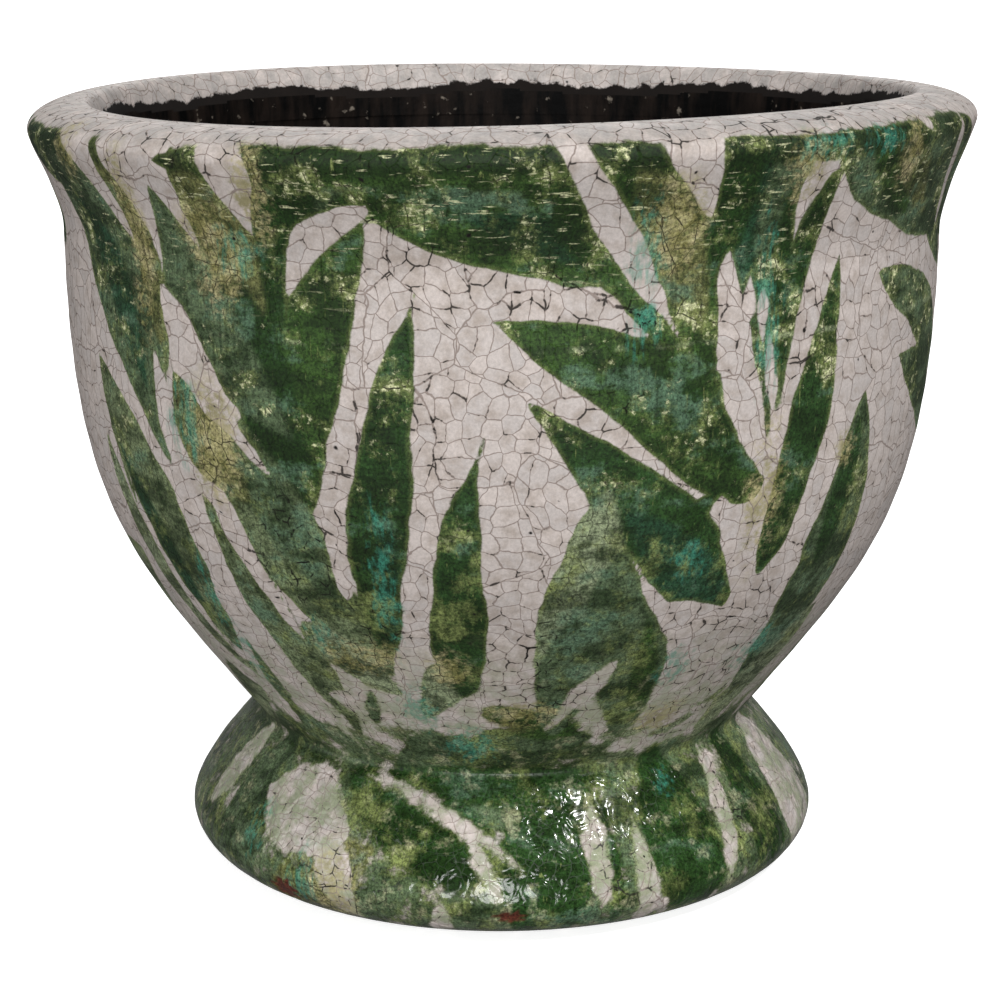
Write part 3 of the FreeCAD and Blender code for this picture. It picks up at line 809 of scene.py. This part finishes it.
# Edge of the green: crisp on the wall, ragged on the lip and low down, with a thin yellowish border
loose = add(tree, "ShaderNodeMath", {0: broken, 1: lip_top}, operation="MAXIMUM")
skip = add(tree, "ShaderNodeMapRange", {"Value": loose, "To Min": 2.0, "To Max": 9.0})
wobble = add(tree, "ShaderNodeMath", {0: wander, 1: 0.5}, operation="SUBTRACT")
cut = add(tree, "ShaderNodeMath", {0: wobble, 1: 5.0, 2: leaf}, operation="MULTIPLY_ADD")
depth = add(tree, "ShaderNodeMath", {0: stray, 1: skip, 2: cut}, operation="MULTIPLY_ADD")
soft = add(tree, "ShaderNodeMapRange", {"Value": loose, "To Min": 0.35, "To Max": 1.0})
edge_share = add(tree, "ShaderNodeMath", {0: depth, 1: soft}, operation="DIVIDE")
green = add(
    tree, "ShaderNodeMapRange", {"Value": edge_share, "From Min": -1.0, "From Max": 1.0},
    interpolation_type="SMOOTHSTEP",
)
border = add(
    tree, "ShaderNodeMapRange",
    {"Value": depth, "From Min": 0.1, "From Max": 1.6, "To Min": 0.6, "To Max": 0.0},
)
patchy_border = add(tree, "ShaderNodeMath", {0: border, 1: ragged}, operation="MULTIPLY")
film = add(tree, "ShaderNodeMixRGB", {0: patchy_border, 1: film, 2: linear(GREEN_THIN)})
painted = add(tree, "ShaderNodeMixRGB", {0: green, 1: ground, 2: film})

# Blots of straw glaze and copper teal, broken up by the brush and kept to their places
mingled = add(tree, "ShaderNodeMath", {0: patches, 1: specks}, operation="ADD")
straw_edge = add(tree, "ShaderNodeMath", {0: mingled, 1: 4.0, 2: straw}, operation="MULTIPLY_ADD")
straw_film = add(
    tree, "ShaderNodeMapRange", {"Value": straw_edge, "From Min": 3.9, "From Max": 5.3, "To Max": 0.8},
    interpolation_type="SMOOTHSTEP",
)
straw_reach = add(tree, "ShaderNodeMapRange", {"Value": straw, "From Min": 0.12, "From Max": 0.45})
straw_cover = add(tree, "ShaderNodeMath", {0: straw_film, 1: straw_reach}, operation="MULTIPLY")
straw_mix = add(tree, "ShaderNodeMapRange", {"Value": ragged, "From Min": 0.4, "From Max": 0.6})
straw_tone = add(tree, "ShaderNodeMixRGB", {0: straw_mix, 1: linear(STRAW_DARK), 2: linear(STRAW_GLAZE)})
painted = add(tree, "ShaderNodeMixRGB", {0: straw_cover, 1: painted, 2: straw_tone})
clotted = add(tree, "ShaderNodeMath", {0: ragged, 1: strokes}, operation="ADD")
teal_edge = add(tree, "ShaderNodeMath", {0: clotted, 1: 3.5, 2: teal}, operation="MULTIPLY_ADD")
teal_film = add(
    tree, "ShaderNodeMapRange", {"Value": teal_edge, "From Min": 3.8, "From Max": 5.0, "To Max": 0.6},
    interpolation_type="SMOOTHSTEP",
)
teal_reach = add(tree, "ShaderNodeMapRange", {"Value": teal, "From Min": 0.1, "From Max": 0.4})
teal_cover = add(tree, "ShaderNodeMath", {0: teal_film, 1: teal_reach}, operation="MULTIPLY")
painted = add(tree, "ShaderNodeMixRGB", {0: teal_cover, 1: painted, 2: linear(TEAL_GREEN)})

# Cracks over everything, fainter the darker the film unless soot blackened them, then pits, chips, the wash
# brushed up inside the lip, and a fine grain, strongest in the green
brightness = add(tree, "ShaderNodeSeparateColor", {0: painted})
under_film = add(
    tree, "ShaderNodeMapRange",
    {"Value": brightness.outputs[0], "From Min": 0.05, "From Max": 0.35, "To Min": 0.08, "To Max": 0.9},
)
darkness = add(tree, "ShaderNodeMath", {0: sooty, 1: green}, operation="MAXIMUM")
crack_colour = add(tree, "ShaderNodeMixRGB", {0: darkness, 1: linear(SOOT), 2: linear(BLACK)})
blackened = add(tree, "ShaderNodeMath", {0: sooty, 1: soot}, operation="MULTIPLY")
seen = add(tree, "ShaderNodeMath", {0: blackened, 1: under_film}, operation="MAXIMUM")
shown = add(tree, "ShaderNodeMath", {0: cracks, 1: seen}, operation="MULTIPLY")
crazed = add(tree, "ShaderNodeMixRGB", {0: shown, 1: painted, 2: crack_colour})
pitted = add(tree, "ShaderNodeMixRGB", {0: holes, 1: crazed, 2: linear(BLACK)})
chipped = add(tree, "ShaderNodeMixRGB", {0: chip, 1: pitted, 2: linear(CLAY_DARK)})
wash_reach = add(tree, "ShaderNodeMath", {0: stray, 1: 9.0, 2: inside}, operation="MULTIPLY_ADD")
washed = add(
    tree, "ShaderNodeMapRange", {"Value": wash_reach, "From Min": -0.4, "From Max": 0.6},
    interpolation_type="SMOOTHSTEP",
)
dark_brush = add(tree, "ShaderNodeMixRGB", {0: patches, 1: linear(WASH_DARK), 2: linear(WASH)})
finished = add(tree, "ShaderNodeMixRGB", {0: washed, 1: chipped, 2: dark_brush})
grain = add(
    tree, "ShaderNodeTexNoise", {"Vector": place, "Scale": 1000 / 0.9, "Detail": 3.0, "Roughness": 0.75},
)
grain_tone = add(
    tree, "ShaderNodeMapRange",
    {"Value": grain, "From Min": 0.3, "From Max": 0.7, "To Min": 0.2, "To Max": 1.8},
)
grain_cover = add(tree, "ShaderNodeMapRange", {"Value": green, "To Min": 0.18, "To Max": 1.0})
grained = add(tree, "ShaderNodeMixRGB", {0: grain_cover, 1: finished, 2: grain_tone}, blend_type="MULTIPLY")
tree.links.new(grained.outputs[0], shader.inputs["Base Color"])

# The glaze is satin on the wall, glassy on the foot, and dull in its cracks, on chips and under the wash
gleam = add(tree, "ShaderNodeMapRange", {"Value": gloss, "To Min": 0.65, "To Max": 0.13})
dull = add(tree, "ShaderNodeMath", {0: chip, 1: washed}, operation="MAXIMUM")
duller = add(tree, "ShaderNodeMath", {0: dull, 1: cracks}, operation="MAXIMUM")
dulled = add(tree, "ShaderNodeMath", {0: duller, 1: 0.35, 2: gleam}, operation="MULTIPLY_ADD")
tree.links.new(dulled.outputs[0], shader.inputs["Roughness"])
wrinkle = add(
    tree, "ShaderNodeTexNoise", {"Vector": place, "Scale": 1000 / 8, "Detail": 2.0, "Distortion": 0.8},
)
wrinkles = add(tree, "ShaderNodeMath", {0: wrinkle, 1: gloss}, operation="MULTIPLY")
relief = add(tree, "ShaderNodeBump", {"Height": wrinkles, "Strength": 0.9, "Distance": 0.0016})
tree.links.new(relief.outputs[0], shader.inputs["Normal"])
shader.inputs["IOR"].default_value = 1.5
shader.inputs["Specular IOR Level"].default_value = 0.3

bowl_glaze.data.materials.append(glaze)
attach(bowl_glaze, "pot")
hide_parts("bowl_glaze")


# Foot glaze: the same glaze run thick and glassy over the pedestal.
# It stops above the standing ring, which is wiped clean so that the pot doesn't stick in the kiln.
FOOT_WAIST = (83.4, 49.0)
FOOT_FULL = (107.4, 14.0)
FOOT_TUCK = (93.0, 2.0)
FLARE_RISE = FOOT_FULL[1] - FOOT_WAIST[1]    # negative, because the flare runs down
FLARE_LEAN = math.radians(47)
FLARE_TOP_PULL = 0.26 * FLARE_RISE
FLARE_LOW_PULL = 0.25 * FLARE_RISE
FOOT_MM_PER_DEGREE = 0.8 * MM_PER_DEGREE
WRINKLE_TOP = 47.0        # the wrinkles end below the waist
WRINKLE_FADE = 6.0        # height over which they grow from nothing
CHIP_DEPTH = 0.7

# Chips near the foot's lower edge: angle, height, half width and half height
CHIPS = [(-41, 8.5, 4.5, 3.6), (1.5, 10.5, 4.0, 1.8), (128, 6, 4, 3), (214, 9, 5, 2.5)]


def foot_wrinkles(angle, height):
    """Wrinkles of thick glaze, in millimetres: three sets of waves, each bent by the one before."""
    x = FOOT_MM_PER_DEGREE * angle
    bend = np.sin(x / 3.1 + 1.7 * np.sin(height / 4.3))
    cross = np.sin(height / 1.5 + 1.4 * bend + 0.8 * np.sin(x / 6.7))
    slant = np.sin((x + 1.6 * height) / 2.3 + 1.2 * cross)
    return 0.05 * cross + 0.04 * slant * bend


flare = bezier(
    FOOT_WAIST,
    (
        FOOT_WAIST[0] - FLARE_TOP_PULL * math.cos(FLARE_LEAN),
        FOOT_WAIST[1] + FLARE_TOP_PULL * math.sin(FLARE_LEAN),
    ),
    (FOOT_FULL[0], FOOT_FULL[1] - FLARE_LOW_PULL),
    FOOT_FULL,
)
foot_side = np.vstack([flare, quarter(FOOT_FULL, (FOOT_FULL[0], FOOT_TUCK[1]), FOOT_TUCK)[1:]])
foot_face = from_waist(outward(foot_side, -GLAZE))[::-1]
foot_back = np.vstack([[(FOOT_WAIST[0], WAIST_Z)], foot_side])
face_rows = even(foot_face, 78)
loop, radius_grid, height_grid = glaze_shell(face_rows, even(foot_back, 10))
paint = brushwork(loop[:, 1])
for chip_angle, chip_height, wide, high in CHIPS:
    x = FOOT_MM_PER_DEGREE * turn_between(column_angles(), chip_angle) / wide
    z = (height_grid - chip_height) / high
    ragged_edge = 0.25 * np.sin(7 * np.arctan2(z, x)) + 0.15 * np.sin(11 * np.arctan2(z, x) + 1)
    paint["chip"] = np.maximum(paint["chip"], np.clip((1.2 + ragged_edge - np.hypot(x, z)) / 0.3, 0, 1))
paint["chip"][len(face_rows):] = 0
face_height = height_grid[:len(face_rows)]
calm = np.clip(face_height / WRINKLE_FADE, 0, 1) * np.clip((WRINKLE_TOP - face_height) / WRINKLE_FADE, 0, 1)
radius_grid[:len(face_rows)] += calm * foot_wrinkles(column_angles(), face_height)
radius_grid -= CHIP_DEPTH * paint["chip"]
foot_rise = unrolled(loop)
foot_rise -= foot_rise[len(face_rows) - 1]
foot_glaze = ring_piece("painted_foot_glaze", radius_grid, height_grid, foot_rise, **paint)
foot_glaze.data.materials.append(glaze)
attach(foot_glaze, "pot")
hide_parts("foot_glaze")


# Rim glaze: the same glaze carried over the lip, green up to the lip's edge and bare white on top.
# Inside the lip it ends in a ragged line, less than a finger's breadth down, where the dark wash begins.
INSIDE_REACH = 7.5        # crest down to the ragged edge inside, on average
SEALED_FROM = 3.0         # from this far past the ragged edge, the faces carry the wash itself

lip = np.vstack([[(NECK[0], NECK_Z)], lip_outline()])
lip_face = outward(lip, GLAZE)
face_rows = even(lip_face, 84)
back_rows = even(lip[::-1], 30)
loop, radius_grid, height_grid = glaze_shell(face_rows, back_rows)
face_reach = along(face_rows)
edge_row = np.argmax(face_rows[:, 0])
# Past the lip's edge the painting height goes on growing along the face
past_edge = np.clip(face_reach - face_reach[edge_row], 0, None)
painting_height = np.where(past_edge > 0, face_rows[edge_row, 1] + past_edge, face_rows[:, 1])
paint = brushwork(np.append(painting_height, back_rows[:, 1]))
crest_reach = face_reach[np.argmax(face_rows[:, 1])]
slow_wave = 2.5 * np.cos(np.radians(column_angles() - 205))
scallops = 1.2 * np.cos(np.radians(9 * column_angles()))
edge_line = INSIDE_REACH + slow_wave + scallops
paint["inside"][:len(face_rows)] = np.maximum((face_reach - crest_reach)[:, None] - edge_line, -9)
lifted = height_grid + lip_lift(radius_grid, height_grid)
rim_glaze = ring_piece("painted_rim_glaze", radius_grid, lifted, neck_rise + unrolled(loop), **paint)
rim_glaze.data.materials.append(glaze)
rim_glaze.data.materials.append(tarry_wash)
sealed = paint["inside"] > SEALED_FROM
rim_glaze.data.polygons.foreach_set("material_index", sealed.astype(np.int32).ravel())
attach(rim_glaze, "pot")
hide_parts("rim_glaze")


# Drain stopper: a moulded rubber bung, pushed into the drain hole and pulled by its knob.
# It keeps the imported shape. Handling has polished it in places, and dust clouds the rest.
RUBBER = "#1d1c1b"
RUBBER_DUSTY = "#4a4641"

rubber, tree, shader = new_material("moulded_black_rubber")
place = add(tree, "ShaderNodeTexCoord").outputs["Object"]
bloom = add(tree, "ShaderNodeTexNoise", {"Vector": place, "Scale": 1000 / 6, "Detail": 4.0})
pores = add(tree, "ShaderNodeTexNoise", {"Vector": place, "Scale": 1000 / 0.9, "Detail": 2.0})
dust = add(tree, "ShaderNodeMapRange", {"Value": bloom, "From Min": 0.45, "From Max": 0.75, "To Max": 0.6})
skin = add(tree, "ShaderNodeMixRGB", {0: dust, 1: linear(RUBBER), 2: linear(RUBBER_DUSTY)})
worn = add(
    tree, "ShaderNodeMapRange",
    {"Value": bloom, "From Min": 0.3, "From Max": 0.7, "To Min": 0.5, "To Max": 0.75},
)
relief = add(tree, "ShaderNodeBump", {"Height": pores, "Strength": 0.3, "Distance": 0.0003})
tree.links.new(skin.outputs[0], shader.inputs["Base Color"])
tree.links.new(worn.outputs[0], shader.inputs["Roughness"])
tree.links.new(relief.outputs[0], shader.inputs["Normal"])
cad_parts["drain_stopper"].material_slots[0].material = rubber


# Floor, light and camera: a sweep of white paper, three soft lights in front and one behind, and a short
# telephoto view. The paper glows to show white, but sends no light and no reflection onto the pot.
FLOOR_WHITE = "#f4f4f4"

floor_mesh = bpy.data.meshes.new("floor")
floor_mesh.from_pydata([(-20, -20, 0), (20, -20, 0), (20, 20, 0), (-20, 20, 0)], [], [(0, 1, 2, 3)])
floor = bpy.data.objects.new("floor", floor_mesh)
bpy.context.scene.collection.objects.link(floor)
paper, _, shader = new_material("white_paper_sweep")
shader.inputs["Base Color"].default_value = linear(FLOOR_WHITE)
shader.inputs["Roughness"].default_value = 1.0
shader.inputs["Specular IOR Level"].default_value = 0.0
shader.inputs["Emission Color"].default_value = linear(FLOOR_WHITE)
shader.inputs["Emission Strength"].default_value = 0.75
floor_mesh.materials.append(paper)
floor.visible_diffuse = False
floor.visible_glossy = False

for name, azimuth, elevation, strength, softness in (
    ("front", 0, 18, 2.4, 25),
    ("key", 48, 54, 1.4, 6),
    ("fill", -70, 20, 0.5, 30),
    ("back", 180, 32, 1.2, 30),
):
    sun = bpy.data.lights.new(name, "SUN")
    sun.energy = strength
    sun.angle = math.radians(softness)
    lamp = bpy.data.objects.new(name, sun)
    lamp.rotation_euler = (math.radians(90 - elevation), 0, math.radians(azimuth))
    bpy.context.scene.collection.objects.link(lamp)

world = bpy.data.worlds.new("studio")
world.use_nodes = True
world.node_tree.nodes["Background"].inputs["Color"].default_value = (1, 1, 1, 1)
world.node_tree.nodes["Background"].inputs["Strength"].default_value = 0.16
bpy.context.scene.world = world

lens = bpy.data.cameras.new("camera")
lens.lens = 85.82
lens.sensor_width = 36
camera = bpy.data.objects.new("camera", lens)
camera.location = (-0.0006, -0.7979, 0.3155)
camera.rotation_euler = (math.radians(76.096), 0, 0)
bpy.context.scene.collection.objects.link(camera)
bpy.context.scene.camera = camera
bpy.context.scene.view_settings.view_transform = "Standard"
